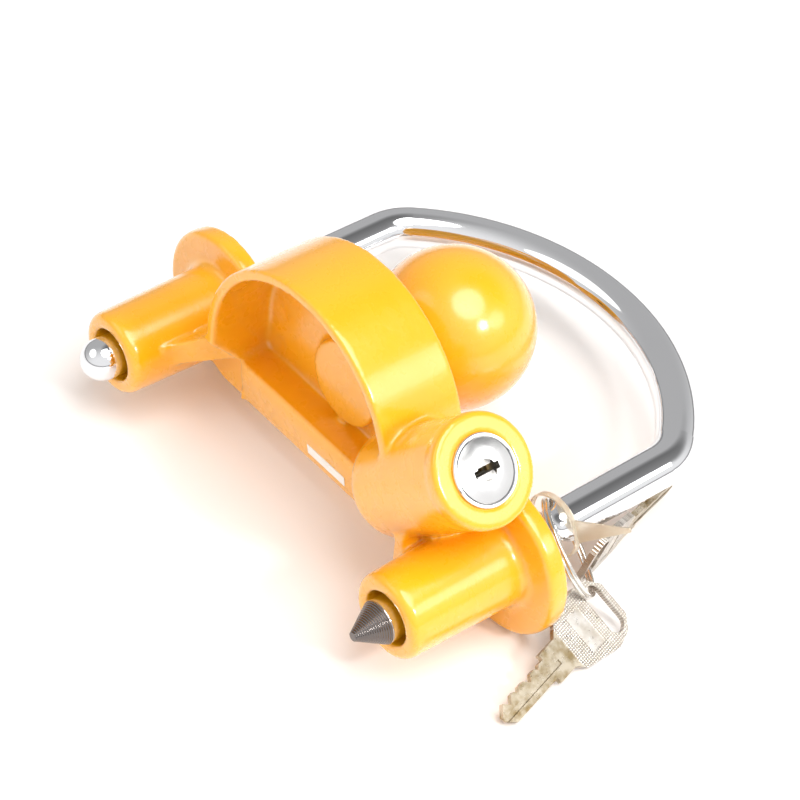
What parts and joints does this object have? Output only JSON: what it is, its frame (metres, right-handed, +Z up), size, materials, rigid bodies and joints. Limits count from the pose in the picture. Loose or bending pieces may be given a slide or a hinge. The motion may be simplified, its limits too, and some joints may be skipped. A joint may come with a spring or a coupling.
{
  "type": "trailer coupler lock",
  "caption": "Trailer coupler lock: a ball that fills the coupler socket, a bent round shackle with a grooved leg, and a keyed barrel that locks it.",
  "frame": {"origin": "centre of the whole object's bounding box in plan, at its lowest point, where the flanges stand on the floor", "axes": "+X across the lock towards the barrel and the keys, +Y from the tubes' front ends towards the shackle's bow, +Z up"},
  "size_m": [0.1823, 0.1544, 0.082],
  "materials": {
    "yellow_coat": "gloss powder coat",
    "chrome": "bright chrome plate",
    "zinc": "die-cast zinc",
    "steel": "plain steel",
    "brass": "machined",
    "nickel": "nickel plate",
    "key_nickel": "nickel silver",
    "clear_strap": "translucent",
    "label_paper": "plain paper"
  },
  "bodies": {
    "lock_body": {"body_casting": "yellow_coat", "coupler_ball": "yellow_coat", "lock_housing": "zinc", "lock_face_ring": "chrome", "housing_pin": "steel", "cross_bore_plug": "yellow_coat", "blank_label": "label_paper", "bolt_spring": "steel"},
    "shackle": {"shackle": "chrome"},
    "plug": {"lock_plug": "zinc", "lock_plug_cap": "chrome", "wafers": "brass", "wafer_springs": "steel", "plug_clip": "steel", "cam": "steel"},
    "bolt": {"locking_bolt": "steel"},
    "key_ring": {"split_ring": "nickel", "tie_strap": "clear_strap"},
    "key_one": {"key_1": "key_nickel"},
    "key_two": {"key_2": "key_nickel"}
  },
  "joints": [
    {"name": "shackle_slide", "type": "slide", "parent": "lock_body", "child": "shackle", "axis": [0, 1, 0], "range_m": [-0.0315, 0.042]},
    {"name": "plug_turn", "type": "hinge", "parent": "lock_body", "child": "plug", "pos_m": [0.05868, -0.0391, 0.06414], "axis": [0.7193, 0, 0.6947], "range_deg": [0, 90]},
    {"name": "bolt_slide", "type": "slide", "parent": "lock_body", "child": "bolt", "axis": [0.6947, 0, -0.7193], "range_m": [0, 0.0022], "deforming": ["bolt_spring"]},
    {"name": "ring_swing", "type": "hinge", "parent": "lock_body", "child": "key_ring", "pos_m": [0.05655, -0.0054, 0.0233], "axis": [0, 1, 0], "range_deg": [-60, 0]},
    {"name": "key_1_swing", "type": "hinge", "parent": "key_ring", "child": "key_one", "pos_m": [0.07365, -0.00615, 0.00952], "axis": [0.4464, -0.6776, 0.5845], "range_deg": [0, 6]},
    {"name": "key_2_swing", "type": "hinge", "parent": "key_ring", "child": "key_two", "pos_m": [0.0634, 0.00222, 0.00642], "axis": [0, 0, 1], "range_deg": [-8, 4]}
  ],
  "couplings": [
    {"joint": "bolt_slide", "follows": "plug_turn", "m_per_rad": 0.0014}
  ]
}
